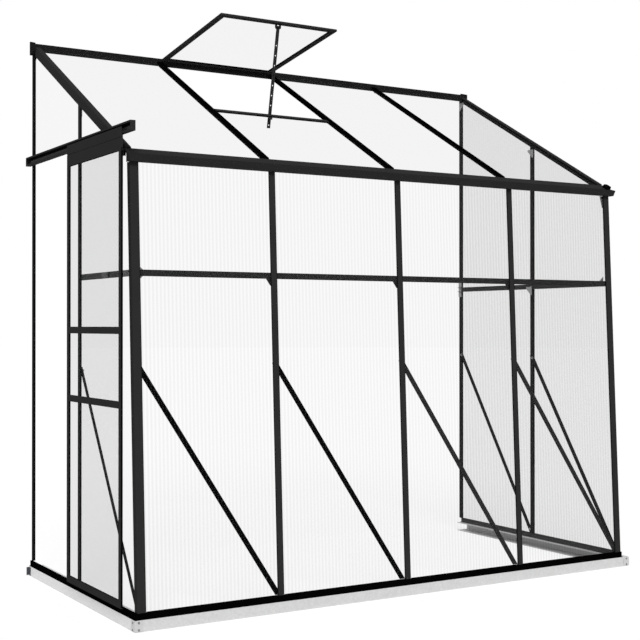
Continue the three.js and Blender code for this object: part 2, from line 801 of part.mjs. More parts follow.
// The vent, turned up on its hinge in front of the ridge, with the stay hanging from it
function vent(parent) {
  const flap = new THREE.Group();
  flap.position.set(ventX, ventPivotY, ventPivotZ);
  flap.rotation.x = -ventOpenAngle;
  parent.add(flap);
  const nose = Array.from({ length: noseSteps + 1 }, (_, k) => (k / noseSteps - 1 / 2) * Math.PI);
  const outline = [
    [-ventLength, -ventRadius],
    ...nose.map((a) => [ventRadius * Math.cos(a), ventRadius * Math.sin(a)]),
    [-ventLength, ventRadius],
  ];
  const plate = prism(outline, -ventHalf, ventHalf, alongX);
  const openX = ventHalf - barWidth;
  const openFront = -ventLength + barWidth;
  const openBack = ventRadius - barWidth;
  const opening = block(
    [-openX, openFront, -ventRadius - overrun], [openX, openBack, ventRadius + overrun],
  );
  const grooves = block(
    [-openX - ventGroove, openFront - ventGroove, -sheetSlot / 2],
    [openX + ventGroove, openBack + ventGroove, sheetSlot / 2],
  );
  const frame = cutBy(plate, opening, grooves);
  piece('vent_frame', joined(frame, ...ventLugs()), frameFinish, flap);
  const play = ventGroove - edgePlay;
  const sheet = block(
    [-openX - play, openFront - play, -sheetThickness / 2],
    [openX + play, openBack + play, sheetThickness / 2],
  );
  piece('vent_sheet', sheet, sheetFinish, flap);
  stay(flap);
}

function ventLugs() {
  const top = -sheetSlot / 2 - edgePlay;
  const gap = stayWidth / 2 + edgePlay;
  const outline = [
    [-pinReach - lugHalf, top], [-pinReach + lugHalf, top],
    [-pinReach + lugHalf, -pinDrop], [-pinReach + lugToe, -pinDrop - lugNose],
    [-pinReach - lugToe, -pinDrop - lugNose], [-pinReach - lugHalf, -pinDrop],
  ];
  const plates = [-1, 1].map((side) => (
    prism(outline, side * gap, side * (gap + lugThickness), alongX)
  ));
  const reach = gap + lugThickness / 2;
  const pin = prism(circle(-pinReach, -pinDrop, pinRadius), -reach, reach, alongX);
  return [...plates, pin];
}

function stay(flap) {
  const w = stayWidth / 2;
  const t = stayThickness / 2;
  const bore = circle(0, 0, pinRadius + clearance);
  const eye = prism(circle(0, 0, stayEye), -w, w, alongX, [bore]);
  const rise = (k) => -stayLength + stayEdge + k * stayHolePitch;
  const holes = Array.from({ length: stayHoles }, (_, k) => circle(0, rise(k), stayHole));
  const outline = rectangle(-w, -stayLength, w, -(pinRadius + stayEye) / 2);
  const bar = prism(outline, -t, t, alongY, holes);
  const mesh = piece('vent_stay', joined(bar, eye), frameFinish, flap);
  mesh.position.set(0, -pinReach, -pinDrop);
  mesh.rotation.x = stayTilt + ventOpenAngle;
}

const greenhouse = new THREE.Group();
base(greenhouse);
baseCorner('base_corner_left', -1, -half - baseLeftOut, greenhouse);
baseCorner('base_corner_right', 1, half + baseRightOut, greenhouse);
sills(greenhouse);
uprights(greenhouse);
rails(greenhouse);
braces(greenhouse);
eave(greenhouse);
ridge(greenhouse);
roof(greenhouse);
frontSheets(greenhouse);
endSheets(greenhouse);
track(greenhouse);
door(greenhouse);
rollers(greenhouse);
vent(greenhouse);

// The origin goes to the middle of the bottom of the whole part
const cornerOut = clearance + bracketPlate + screwHead;
const leftmost = -half - doorOut;
const rightmost = half + baseRightOut + cornerOut;
const frontmost = -baseFrontOut - cornerOut;
greenhouse.position.set(-(leftmost + rightmost) / 2, -(frontmost + frameDepth) / 2, 0);

export default greenhouse;
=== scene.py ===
# %% [markdown]
# # A lean-to greenhouse
# The metal bars, the rails, the door and the vent come from the CAD model, at their real size, and
# stay as they are. This lesson gives each of them its finish, and adds the small things that a
# builder of greenhouses would miss: rubber seals, screws, nuts, washers, corner plates and an end
# cap. Two thin bands in the door's track carry painted shade and painted light. A CAD file could
# carry all of these too, but they are thin, so they are quicker to make here.

# %% Load the greenhouse
import math

import bmesh
import bpy
from mathutils import Matrix, Vector


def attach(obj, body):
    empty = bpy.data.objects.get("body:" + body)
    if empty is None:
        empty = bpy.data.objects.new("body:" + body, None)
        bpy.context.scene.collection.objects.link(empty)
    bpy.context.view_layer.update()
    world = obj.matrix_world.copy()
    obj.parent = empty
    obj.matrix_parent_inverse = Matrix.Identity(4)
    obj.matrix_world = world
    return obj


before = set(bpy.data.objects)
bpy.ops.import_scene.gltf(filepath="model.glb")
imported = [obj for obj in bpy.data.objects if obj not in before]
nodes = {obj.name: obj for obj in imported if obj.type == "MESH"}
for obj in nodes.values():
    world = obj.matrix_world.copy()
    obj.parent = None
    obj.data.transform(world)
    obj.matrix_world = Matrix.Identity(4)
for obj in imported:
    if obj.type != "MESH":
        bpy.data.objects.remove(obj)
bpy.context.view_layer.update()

# %% [markdown]
# ## The camera
# The photograph was taken from the left of the front, at about the height of a chest. A lens of
# 69.9 mm on a 36 mm sensor keeps the lines of the long front only slightly converging. The camera
# could be aimed with a constraint, but fixed angles are easier to read and never change.

# %% Camera
EYE = Vector((-3.0687, -4.9673, 1.1498))
TURN_RIGHT = math.radians(31.09)
TILT_UP = math.radians(0.264)
LENS_MM = 69.9
SENSOR_MM = 36.0

camera_data = bpy.data.cameras.new("camera")
camera_data.lens = LENS_MM
camera_data.sensor_width = SENSOR_MM
camera = bpy.data.objects.new("camera", camera_data)
camera.location = EYE
camera.rotation_euler = (math.radians(90) + TILT_UP, 0.0, -TURN_RIGHT)
bpy.context.scene.collection.objects.link(camera)
bpy.context.scene.camera = camera
bpy.context.scene.view_settings.view_transform = "Standard"
print("camera, in metres from the middle of the base:", round(EYE.length, 2))

# %% [markdown]
# ## Colours and nodes
# Colours are read off as sRGB hex values, as a designer writes them, and Blender's shaders want
# linear light, so one function turns one into the other. A second small function adds any node
# with its settings and its links, which keeps each material down to a few lines. The Mix node
# has sockets of the same name for each kind of data, so its colour sockets go by number.

# %% Colour and node helpers
MM = 0.001
FIRST, SECOND, MIXED = 6, 7, 2


def linear(code):
    """An sRGB hex colour as linear light: the curve is a line near black and a power above it."""
    parts = [int(code[i:i + 2], 16) / 255 for i in (1, 3, 5)]
    parts = [c / 12.92 if c <= 0.04045 else ((c + 0.055) / 1.055) ** 2.4 for c in parts]
    return (*parts, 1.0)


def add(tree, kind, settings=None, links=None):
    """One node; a setting goes to the socket of that name or number, or else to the node itself."""
    new = tree.nodes.new("ShaderNode" + kind)
    for name, value in (settings or {}).items():
        if isinstance(name, int) or name in new.inputs:
            new.inputs[name].default_value = value
        else:
            setattr(new, name, value)
    for name, source in (links or {}).items():
        tree.links.new(source, new.inputs[name])
    return new


def finish_of(name, colour, metallic, roughness, **others):
    """A new material with these values on its shader, with its node tree and the shader."""
    material = bpy.data.materials.new(name)
    material.use_nodes = True
    shader = material.node_tree.nodes["Principled BSDF"]
    values = {"Base Color": linear(colour), "Metallic": metallic, "Roughness": roughness, **others}
    for socket, value in values.items():
        shader.inputs[socket].default_value = value
    return material, material.node_tree, shader


def per_mm(size):
    """The scale at which one cell of a pattern is this many millimetres wide."""
    return 1.0 / (size * MM)


print("the mid grey #808080 is", round(linear("#808080")[0], 3), "in linear light")

# %% [markdown]
# ## Powder-coated aluminium
# The bars are extruded aluminium, dipped, sprayed with polyester powder and baked. The coat is a
# very dark grey with a satin skin, fine as orange peel, and it hides the metal, so metallic is 0.
# Its gloss is turned almost off, because a white studio would lay a pale sheen on every bar, and
# the real ones stay dark. The peel is about 1.5 mm across on the real coat; here it is 2.5 mm, so
# that it still shows. A slow drift of the grey along a bar keeps its long faces from looking flat.
#
# One coat doesn't look the same all over a greenhouse. Rails that the sky reaches inside look
# pale, the ridge and the left wall post look darker than the bars, and the sills, the roof bars and
# two of the braces look nearly black. The even light of a studio loses that, so light and shade are
# painted into the coat: there are four coats, the plain one, a paler copy that is painted light, and
# two darker copies that are painted shade.

# %% Powder coat
COAT_DRIFT = 180
PEEL, PEEL_DEPTH = 2.5, 0.3 * MM
SATIN = 0.6
POLYESTER_IOR = 1.5


def powder_coat(name, dark, light, gloss):
    skin = {"IOR": POLYESTER_IOR, "Specular IOR Level": gloss}
    material, tree, shader = finish_of(name, dark, metallic=0.0, roughness=SATIN, **skin)
    place = add(tree, "TexCoord").outputs["Object"]
    drift = add(tree, "TexNoise", {"Scale": per_mm(COAT_DRIFT), "Detail": 3.0}, {"Vector": place})
    greys = {"data_type": "RGBA", FIRST: linear(dark), SECOND: linear(light)}
    grey = add(tree, "Mix", greys, {0: drift.outputs[0]})
    tree.links.new(grey.outputs[MIXED], shader.inputs["Base Color"])
    peel = add(tree, "TexNoise", {"Scale": per_mm(PEEL), "Detail": 1.0}, {"Vector": place})
    bump = add(tree, "Bump", {"Strength": 0.12, "Distance": PEEL_DEPTH}, {"Height": peel.outputs[0]})
    tree.links.new(bump.outputs[0], shader.inputs["Normal"])
    return material


frame_coat = powder_coat("powder_coated_bar", "#292929", "#2f2f2f", gloss=0.002)
# The next three are the same coat: paler is painted light, darker and near black are painted shade.
painted_light_coat = powder_coat("powder_coat_painted_light", "#4c4c4c", "#545454", gloss=0.002)
dark_painted_shade_coat = powder_coat("powder_coat_dark_painted_shade", "#1c1c1c", "#222222", gloss=0.0)
near_black_painted_shade_coat = powder_coat("powder_coat_near_black_painted_shade", "#030303", "#060606", gloss=0.0)
print("powder coats:", [m.name for m in (frame_coat, painted_light_coat, dark_painted_shade_coat, near_black_painted_shade_coat)])

# %% [markdown]
# ## Galvanised steel
# The base is folded from sheet steel that was dipped in molten zinc. The zinc sets in crystals,
# the spangle, each about 8 mm across and each a slightly different grey. It is a metal, but it
# dulls at once in the rain, so it is rough and spreads what it reflects.
#
# Each of the three steels turns another grey in one place. The hollow side of the right-hand
# channel faces the room, where little light gets in, so every face of it that looks to the left
# gets a darker grey, which is painted shade. The bracket that ties the left-hand channel to the wall
# is a dull plate, so all that stands out past that channel's own face is slate grey. The front
# channel only gets the middle of its own two greys there, which the eye doesn't notice.

# %% Galvanised steel
SPANGLE = 8
FACING_LEFT = -0.5
CHANNEL_FACE = -1.2583


def galvanised(name, dark, light, measure, limit, other):
    """Spangled steel, of another grey where the measure's x is below the limit."""
    material, tree, shader = finish_of(name, dark, metallic=0.3, roughness=0.6)
    place = add(tree, "TexCoord").outputs["Object"]
    spangle = add(tree, "TexVoronoi", {"Scale": per_mm(SPANGLE)}, {"Vector": place})
    tone = add(tree, "SeparateColor", {}, {0: spangle.outputs["Color"]})
    greys = {"data_type": "RGBA", FIRST: linear(dark), SECOND: linear(light)}
    grey = add(tree, "Mix", greys, {0: tone.outputs[0]})
    sideways = add(tree, "SeparateXYZ", {}, {0: add(tree, "NewGeometry").outputs[measure]})
    chosen = add(tree, "Math", {"operation": "LESS_THAN", 1: limit}, {0: sideways.outputs[0]})
    both = add(tree, "Mix", {"data_type": "RGBA", SECOND: linear(other)},
               {0: chosen.outputs[0], FIRST: grey.outputs[MIXED]})
    tree.links.new(both.outputs[MIXED], shader.inputs["Base Color"])
    rough = add(tree, "MapRange", {"To Min": 0.5, "To Max": 0.68}, {0: tone.outputs[1]})
    tree.links.new(rough.outputs[0], shader.inputs["Roughness"])
    return material


bright = ("#c9c9c9", "#d1d1d1", "Normal", FACING_LEFT)
steel = galvanised("galvanised_steel", *bright, "#cdcdcd")
# The right channel's left-facing faces get #b8b8b8: painted shade inside the channel.
hollow_steel_painted_shade = galvanised("galvanised_steel_hollow_painted_shade", *bright, "#b8b8b8")
# The left channel's lighter greys, #dadada to #e2e2e2, are painted light on the weakly lit end; the slate
# grey past its face is the bracket's own colour.
left_steel_painted_light_and_bracket = galvanised(
    "galvanised_steel_left_painted_light_and_bracket", "#dadada", "#e2e2e2", "Position", CHANNEL_FACE, "#44474c")
print("spangle cells per metre:", round(per_mm(SPANGLE)))

# %% [markdown]
# ## Zinc plate, stainless steel, rubber and nylon
# The base's corner plates are stamped and zinc plated: smoother than the base and a little
# darker. The plates up in the frame are the same steel gone dull. Nuts are stainless steel, and the
# base's screws are blackened. The seals are EPDM rubber, black and without a gloss, and the
# rollers and rail blocks are moulded nylon, which has a soft one. Each finish clouds a little
# between two greys, at a grain of 2 to 6 mm, as nothing plated or moulded is perfect.

# %% Small finishes
CLOUD_DEPTH = 0.2 * MM
NYLON_IOR = 1.53


def plain_finish(name, dark, light, metallic, roughness, grain, **others):
    material, tree, shader = finish_of(name, dark, metallic, roughness, **others)
    place = add(tree, "TexCoord").outputs["Object"]
    cloud = add(tree, "TexNoise", {"Scale": per_mm(grain), "Detail": 2.0}, {"Vector": place})
    greys = {"data_type": "RGBA", FIRST: linear(dark), SECOND: linear(light)}
    grey = add(tree, "Mix", greys, {0: cloud.outputs[0]})
    tree.links.new(grey.outputs[MIXED], shader.inputs["Base Color"])
    bump = add(tree, "Bump", {"Strength": 0.1, "Distance": CLOUD_DEPTH}, {"Height": cloud.outputs[0]})
    tree.links.new(bump.outputs[0], shader.inputs["Normal"])
    return material


zinc = plain_finish("zinc_plate", "#c2c2c2", "#cccccc", metallic=0.35, roughness=0.5, grain=6)
grey_plate = plain_finish(
    "zinc_plate_dull", "#8e8e8e", "#9a9a9a", metallic=0.4, roughness=0.5, grain=6)
stainless = plain_finish(
    "stainless_steel", "#8a8a8a", "#969696", metallic=0.9, roughness=0.3, grain=2)
dark_steel = plain_finish(
    "dark_steel", "#363636", "#424242", metallic=0.5, roughness=0.45, grain=2)
rubber = plain_finish(
    "epdm_rubber", "#060606", "#0a0a0a", metallic=0.0, roughness=0.9, grain=4,
    **{"Specular IOR Level": 0.02})
nylon = plain_finish(
    "moulded_nylon", "#141414", "#1b1b1b", metallic=0.0, roughness=0.4, grain=3, IOR=NYLON_IOR)
print("small finishes:", [m.name for m in (zinc, grey_plate, stainless, dark_steel, rubber, nylon)])

# %% [markdown]
# ## Twin-wall polycarbonate
# Each sheet is two thin skins of clear polycarbonate, 4 mm apart, joined by upright ribs. Most light
# goes straight through, so the bars behind stay sharp and dark, and only the ribs show, as fine
# stripes. Glass with refraction would be slow and would bend the view; an alpha below 1 lets
# the view through untouched and leaves a thin grey veil. A solid sheet is crossed by two faces,
# so each face has half of the effect. Ribs stand 5.4 mm apart; every third one is drawn, because
# that is what the eye picks out from across a garden. The front, the roof, the two ends and the
# door each have their own share of veil. The door and the right-hand end, which the lamps leave in
# shade, get a denser veil, which is painted shade. At a scale of 1 Blender's wave repeats every
# 2 pi / 20 metres, which sets the scale for the ribs.

# %% Twin-wall sheets
RIB_PITCH = 5.4
RIB = 3 * RIB_PITCH
RIB_DEPTH = 0.4 * MM
WAVE_LENGTH = 2 * math.pi / 20
SKIN = "#3a3c3c"


def twin_wall(name, direction, cover, ripple):
    """A sheet that covers this share of the view, more by the ripple on a rib, less between two."""
    clear = {"Specular IOR Level": 0.0}
    material, tree, shader = finish_of(name, SKIN, metallic=0.0, roughness=0.35, **clear)
    place = add(tree, "TexCoord").outputs["Object"]
    ribs = add(tree, "TexWave", {
        "wave_type": "BANDS", "bands_direction": direction, "wave_profile": "SIN",
        "Scale": WAVE_LENGTH * per_mm(RIB), "Distortion": 0.0, "Detail": 0.0,
    }, {"Vector": place})
    veil = add(tree, "MapRange", {"To Min": cover - ripple, "To Max": cover + ripple},
               {0: ribs.outputs["Fac"]})
    tree.links.new(veil.outputs[0], shader.inputs["Alpha"])
    bump = add(tree, "Bump", {"Strength": 0.1, "Distance": RIB_DEPTH}, {"Height": ribs.outputs["Fac"]})
    tree.links.new(bump.outputs[0], shader.inputs["Normal"])
    return material


front_glazing = twin_wall("twin_wall_front", "X", cover=0.044, ripple=0.026)
roof_glazing = twin_wall("twin_wall_roof", "X", cover=0.053, ripple=0.004)
left_glazing = twin_wall("twin_wall_left_end", "Y", cover=0.041, ripple=0.006)
# The door's and the right end's denser veils are painted shade.
door_glazing_painted_shade = twin_wall("twin_wall_door_painted_shade", "Y", cover=0.112, ripple=0.006)
right_glazing_painted_shade = twin_wall("twin_wall_right_end_painted_shade", "Y", cover=0.102, ripple=0.010)
print("ribs drawn per metre:", round(per_mm(RIB), 1))

# %% [markdown]
# ## Finishes on the CAD pieces
# A CAD piece keeps its shape, and gets its finish by putting the material in its slot. The piece's
# name says what it is, so one function picks the finish for all sixty.

# %% Dress the CAD pieces
def first_match(name, finishes, usual):
    """The finish whose key the name starts with, or the usual one."""
    found = [finish for start, finish in finishes.items() if name.startswith(start)]
    return (found or [usual])[0]


def finish_for(name):
    """The material and the slot of the CAD piece of this name."""
    if "sheet" in name:
        glazing = {"roof": roof_glazing, "vent": roof_glazing, "front": front_glazing,
                   "door_": door_glazing_painted_shade, "end_sheet_left": left_glazing}
        return first_match(name, glazing, right_glazing_painted_shade), "twin_wall_sheet"
    if name.startswith("base_corner"):
        return zinc, "zinc_bracket"
    if name.startswith("base"):
        steels = {"base_right": hollow_steel_painted_shade, "base_left": left_steel_painted_light_and_bracket}
        return first_match(name, steels, steel), "galvanised_steel"
    if name.startswith("roller"):
        return nylon, "roller_plastic"
    coats = {"sill_right": painted_light_coat, "mid_rail_left": painted_light_coat, "mid_rail_right": painted_light_coat,
             "ridge": dark_painted_shade_coat, "wall_post_left": dark_painted_shade_coat, "sill": near_black_painted_shade_coat,
             "roof_bar": near_black_painted_shade_coat, "brace_front_1": near_black_painted_shade_coat, "brace_front_2": near_black_painted_shade_coat}
    return first_match(name, coats, frame_coat), "dark_aluminium"


for name, cad_piece in nodes.items():
    material, slot = finish_for(name)
    cad_piece.data.materials.clear()
    cad_piece.data.materials.append(material)
print("dressed", len(nodes), "CAD pieces")

# %% [markdown]
# ## Where things are
# The builder's drawing counts in millimetres: x to the right from the middle of the front, y from
# the foot of the front back to the wall, z up from the ground. These few sizes are the ones that
# the small parts are set out from. `at` turns a place on the drawing into the scene's, whose zero
# is on the ground in the middle of the whole. `on_front` and `on_roof` follow the lean of the front
# and the slope of the roof, so that a part there needs no angles of its own.

# %% Setting out
MIDDLE_X, MIDDLE_Y = 8.2, 620.6
HALF = 1238.0  # half of the frame's length
WALL = 1248.0  # from the foot of the front to the wall
BAY = 620.4  # from one glazing bar to the next
MULLION = 631.0  # from the foot of the front to the middle post of each end
BAR, POST = 24.4, 33.0  # the widths of a bar and of a corner post
HALF_BAR = BAR / 2
SILL_TOP, SILL_Y = 69.5, 0.6
EAVE, EAVE_Y = 1809.5, 80.9
LEAN, SLOPE = math.radians(2.642), math.radians(28.66)
FRONT_BARS = (-BAY, 0.0, BAY)
RIGHT, BACK, UP = Vector((1, 0, 0)), Vector((0, 1, 0)), Vector((0, 0, 1))
OUT_FRONT = Vector((0, -math.cos(LEAN), math.sin(LEAN)))
OUT_ROOF = Vector((0, -math.sin(SLOPE), math.cos(SLOPE)))


def at(x, y, z):
    return Vector((x - MIDDLE_X, y - MIDDLE_Y, z)) * MM


def front_y(z):
    return SILL_Y + (z - SILL_TOP) * math.tan(LEAN)


def on_front(x, z, inward):
    return at(x, front_y(z) + inward, z)


def on_roof(x, run, lift):
    y = EAVE_Y + run * math.cos(SLOPE) - lift * math.sin(SLOPE)
    return at(x, y, EAVE + run * math.sin(SLOPE) + lift * math.cos(SLOPE))


print("the front leans back by", round(front_y(EAVE) - front_y(SILL_TOP)), "mm at the eave")

# %% [markdown]
# ## Shapes for small parts
# Three ways of making a mesh cover everything here. `turned` spins a profile round an axis, as a
# lathe does, for screws, washers and nuts. `drawn` carries a small outline along a line, as a die
# draws rubber. `stamped` gives a flat outline a thickness, for plates. All of them add to one
# mesh, so that a whole set of screws is a single piece, and `into_scene` makes that piece.

# %% Mesh helpers
PLATE = 2.0


def facing(point, normal):
    """The place of a small part whose own upward axis looks along the normal."""
    return Matrix.Translation(point) @ Vector(normal).to_track_quat("Z", "Y").to_matrix().to_4x4()


def turned(mesh, place, profile, sides):
    """Spin a profile of radius and height; a radius of 0 is a single point on the axis."""
    rings = []
    for radius, height in profile:
        count = sides if radius else 1
        angles = [2 * math.pi * k / sides for k in range(count)]
        spots = [Vector((radius * math.cos(a), radius * math.sin(a), height)) * MM for a in angles]
        rings.append([mesh.verts.new(place @ spot) for spot in spots])
    for low, high in zip(rings, rings[1:]):
        for k in range(sides):
            n = k + 1
            loop = [low[k % len(low)], low[n % len(low)], high[n % len(high)], high[k % len(high)]]
            mesh.faces.new(dict.fromkeys(loop))


def drawn(mesh, start, end, out, outline):
    """Carry an outline, given across the line and outwards, from the start to the end."""
    along = (end - start).normalized()
    side = along.cross(out).normalized()
    ends = [[mesh.verts.new(p + side * u * MM + out * v * MM) for u, v in outline] for p in (start, end)]
    for k in range(len(outline)):
        n = (k + 1) % len(outline)
        mesh.faces.new((ends[0][k], ends[0][n], ends[1][n], ends[1][k]))
    mesh.faces.new(ends[0])
    mesh.faces.new(ends[1][::-1])


def stamped(mesh, origin, right, up, outline):
    """A plate whose outline is given to the right and up from its origin."""
    out = right.cross(up)
    drawn(mesh, origin + out * PLATE * MM, origin, up, outline)


def into_scene(name, mesh, material, body):
    """Make one piece of the mesh, on the body that carries it."""
    bmesh.ops.recalc_face_normals(mesh, faces=mesh.faces)
    data = bpy.data.meshes.new(name)
    mesh.to_mesh(data)
    mesh.free()
    data.materials.append(material)
    made = bpy.data.objects.new(name, data)
    bpy.context.scene.collection.objects.link(made)
    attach(made, body)
    print(name, len(data.polygons), "faces")


print("plates are", PLATE, "mm thick")

# %% [markdown]
# ## Rubber seals
# A black rubber strip is pressed in between each bar and its sheet, to keep the rain out and to stop
# the sheet rattling. From outside only its rounded edge shows. One small outline is drawn along
# the sides and the lower edge of the front and roof sheets, and up beside the posts of both ends. A
# thicker strip on the left wall post is the stop that the door meets.

# %% Seal outlines and where the seals run
SEAL_HALF = 1.6
SEAL = [(-SEAL_HALF, 0), (-1.3, 0.7), (-0.6, 1.1), (0.6, 1.1), (1.3, 0.7), (SEAL_HALF, 0)]
DOOR_STOP, STOP_IN = [(-3.8, -0.2), (-3.8, 4), (3.8, 4), (3.8, -0.2)], 4
SHEET_IN = 2.0  # how far the sheet's face lies in from the bars' face
SIDE_GAP = 3.5  # the lower seal stops here, just clear of the two at the sides
UPRIGHT_FOOT, FRONT_HEAD, SILL_SEAL = 72, 1775, 71.5
ROOF_FOOT, ROOF_HEAD, EAVE_SEAL = 52, 1275, 52.4
VENT_BAY, VENT_SILL = 1, 616
DOORWAY_HEAD = 1925
END_HEADS = (2075, 2095, 2400)


def bays(first, last):
    """The left and right edge of the sheet in each of the four bays."""
    edges = [first, *(x + side * HALF_BAR for x in FRONT_BARS for side in (-1, 1)), last]
    return list(zip(edges[0::2], edges[1::2]))


def front_sheet(x, z):
    return on_front(x, z, SHEET_IN)


def roof_sheet(x, run):
    return on_roof(x, run, -SHEET_IN)


def seal_sheet(mesh, spot, edges, foot, head, low_edge, out):
    """Seal the two sides and the lower edge of a sheet; spot gives a place on its face."""
    left, right = edges
    for x in (left + SEAL_HALF, right - SEAL_HALF):
        drawn(mesh, spot(x, foot), spot(x, head), out, SEAL)
    drawn(mesh, spot(left + SIDE_GAP, low_edge), spot(right - SIDE_GAP, low_edge), out, SEAL)


print("sheets on the front:", [round(right - left, 1) for left, right in bays(-HALF + POST, HALF - POST)])

# %% Seals
seals = bmesh.new()
for edges in bays(-HALF + POST, HALF - POST):
    seal_sheet(seals, front_sheet, edges, UPRIGHT_FOOT, FRONT_HEAD, SILL_SEAL, OUT_FRONT)
for bay, edges in enumerate(bays(-HALF + BAR, HALF - BAR)):
    head = VENT_SILL if bay == VENT_BAY else ROOF_HEAD
    seal_sheet(seals, roof_sheet, edges, ROOF_FOOT, head, EAVE_SEAL, OUT_ROOF)
beside_posts = (MULLION - HALF_BAR - SEAL_HALF, MULLION + HALF_BAR + SEAL_HALF, WALL - BAR - SEAL_HALF)
for side, back_foot in ((-1, DOORWAY_HEAD), (1, UPRIGHT_FOOT)):
    x = side * (HALF - SHEET_IN)
    for y, foot, head in zip(beside_posts, (UPRIGHT_FOOT, back_foot, back_foot), END_HEADS):
        drawn(seals, at(x, y, foot), at(x, y, head), side * RIGHT, SEAL)
stop_foot, stop_head = (at(-HALF + STOP_IN, WALL - BAR, z) for z in (UPRIGHT_FOOT, END_HEADS[-1]))
drawn(seals, stop_foot, stop_head, -BACK, DOOR_STOP)
into_scene("glazing_seals", seals, rubber, "frame")

# %% [markdown]
# ## Screws, nuts and washers
# A socket screw is a low dome with a recess; a nut is a six-sided ring on a washer, with the end
# of its bolt standing out. All of them are turned from a short profile. Its radii are shares of
# the part's own, so one profile serves every size, and with 6 sides the lathe makes a hexagon.

# %% Fastener shapes
SUNK = -0.4
DOME, DOME_SIDES = [(1, 0.45), (0.86, 0.85), (0.6, 1), (0.42, 1), (0.42, 0.3), (0, 0.3)], 20
NUT = 5.0
WASHER = [(0, -0.3), (1.35, -0.3), (1.35, 1.0), (1.2, 1.3), (0, 1.3)]
HEXAGON = [(0, 1.2), (0.92, 1.2), (1, 1.7), (1, 5.2), (0.9, 5.8), (0.5, 5.8), (0.5, 4.9), (0, 4.9)]
BOLT_END = [(0.42, 4.8), (0.42, 8.0), (0.3, 8.6), (0, 8.6)]


def socket_screw(mesh, point, normal, radius, height):
    head = [(share * radius, rise * height) for share, rise in DOME]
    turned(mesh, facing(point, normal), [(0, SUNK), (radius, SUNK), *head], DOME_SIDES)


def nut(mesh, point, normal):
    for profile, sides in ((WASHER, 24), (HEXAGON, 6), (BOLT_END, 12)):
        sized = [(share * NUT, height) for share, height in profile]
        turned(mesh, facing(point, normal), sized, sides)


print("a nut's washer is", 2 * NUT * WASHER[1][0], "mm across")

# %% [markdown]
# ## Nuts inside the frame
# Every brace, rail and post is held by a bolt with its nut on the room side, where it can be
# reached. The places follow the bars: both ends of each brace, the middle rail at each bar, and
# the eave and ridge ends of the roof bars.

# %% Where the nuts sit
BRACE_IN = 8.3 + 3.0  # the bar's depth and the brace's thickness
RAIL_IN, RAIL_Y, RAIL_Z = 10.5, 70.8, 1352
ROOF_NUTS, ROOF_NUT_IN = (66, 1255), 12.3
TOP_SHIFT, TOP_Z = 9, 988
FOOT_SHIFT, FOOT_Z = -12, 92
END_TOPS = {-1: 963, 1: 982}
END_TOP_Y = MULLION - 9
END_FOOT = (32, 88)
WALL_BRACE = ((WALL - 27, 987), (MULLION + 12, 90))
LEFT_INSET, RIGHT_INSET = 22, 25  # of the first brace's top and the last one's foot
FIRST_SETBACK, SETBACK = 8.6, 23.4  # of the other feet, to the left of their bars
brace_tops = [-HALF + LEFT_INSET, *FRONT_BARS]
brace_feet = [-BAY - FIRST_SETBACK, -SETBACK, BAY - SETBACK, HALF - RIGHT_INSET]
print("front braces run, in mm:", [round(foot - top) for top, foot in zip(brace_tops, brace_feet)])

# %% Nuts
nuts = bmesh.new()
for top, foot in zip(brace_tops, brace_feet):
    for x, z in ((top + TOP_SHIFT, TOP_Z), (foot + FOOT_SHIFT, FOOT_Z)):
        nut(nuts, on_front(x, z, BRACE_IN), BACK)
for x in FRONT_BARS:
    nut(nuts, at(x, RAIL_Y, RAIL_Z), BACK)
    for run in ROOF_NUTS:
        nut(nuts, on_roof(x, run, -ROOF_NUT_IN), -OUT_ROOF)
for side, top_z in END_TOPS.items():
    for y, z in ((END_TOP_Y, top_z), END_FOOT):
        nut(nuts, at(side * (HALF - BRACE_IN), y, z), -side * RIGHT)
    nut(nuts, at(side * (HALF - RAIL_IN), MULLION, RAIL_Z), -side * RIGHT)
for y, z in WALL_BRACE:
    nut(nuts, at(HALF - BRACE_IN, y, z), -RIGHT)
into_scene("frame_nuts", nuts, stainless, "frame")

# %% [markdown]
# ## Screws outside
# Each leg of the base's two corner plates has a column of two dark screws, flush with the steel.
# The end caps of the ridge, the end plates of the gutter and the track have screws in the colour
# of the coat, which only show as small round rises.

# %% Screws of the base
BASE_ROWS = (8.5, 35.5)
LEFT_LEG, RIGHT_LEG, FRONT_FACE = -HALF + 3.1, HALF + 31.8, -6.75
LEFT_FACE, RIGHT_FACE, SIDE_LEG = -HALF - 15.65, HALF + 50.55, 12
legs = (
    (LEFT_LEG, FRONT_FACE, -BACK),
    (RIGHT_LEG, FRONT_FACE, -BACK),
    (LEFT_FACE, SIDE_LEG, -RIGHT),
    (RIGHT_FACE, SIDE_LEG, RIGHT),
)

screws = bmesh.new()
for x, y, out in legs:
    for z in BASE_ROWS:
        socket_screw(screws, at(x, y, z), out, radius=4.2, height=0.1)
into_scene("base_screws", screws, dark_steel, "frame")

# %% Coated screws
RIDGE_CAP_OUT, RIDGE_SCREWS = 12.3, ((1214, 2410), (1214, 2432), (1238, 2410), (1238, 2445))
GUTTER_ENDS, GUTTER_SCREWS = {-1: -HALF - 7.2, 1: HALF + 15.2}, ((70, 1784), (88, 1800))
TRACK_FACE, TRACK_SCREWS, TRACK_SCREW_Z = -HALF - 10.8, (275, MULLION, WALL - HALF_BAR), 1902
TRACK_CAP_X, TRACK_CAPS = -HALF - 15, {-1: 1, 1: 1247.1}

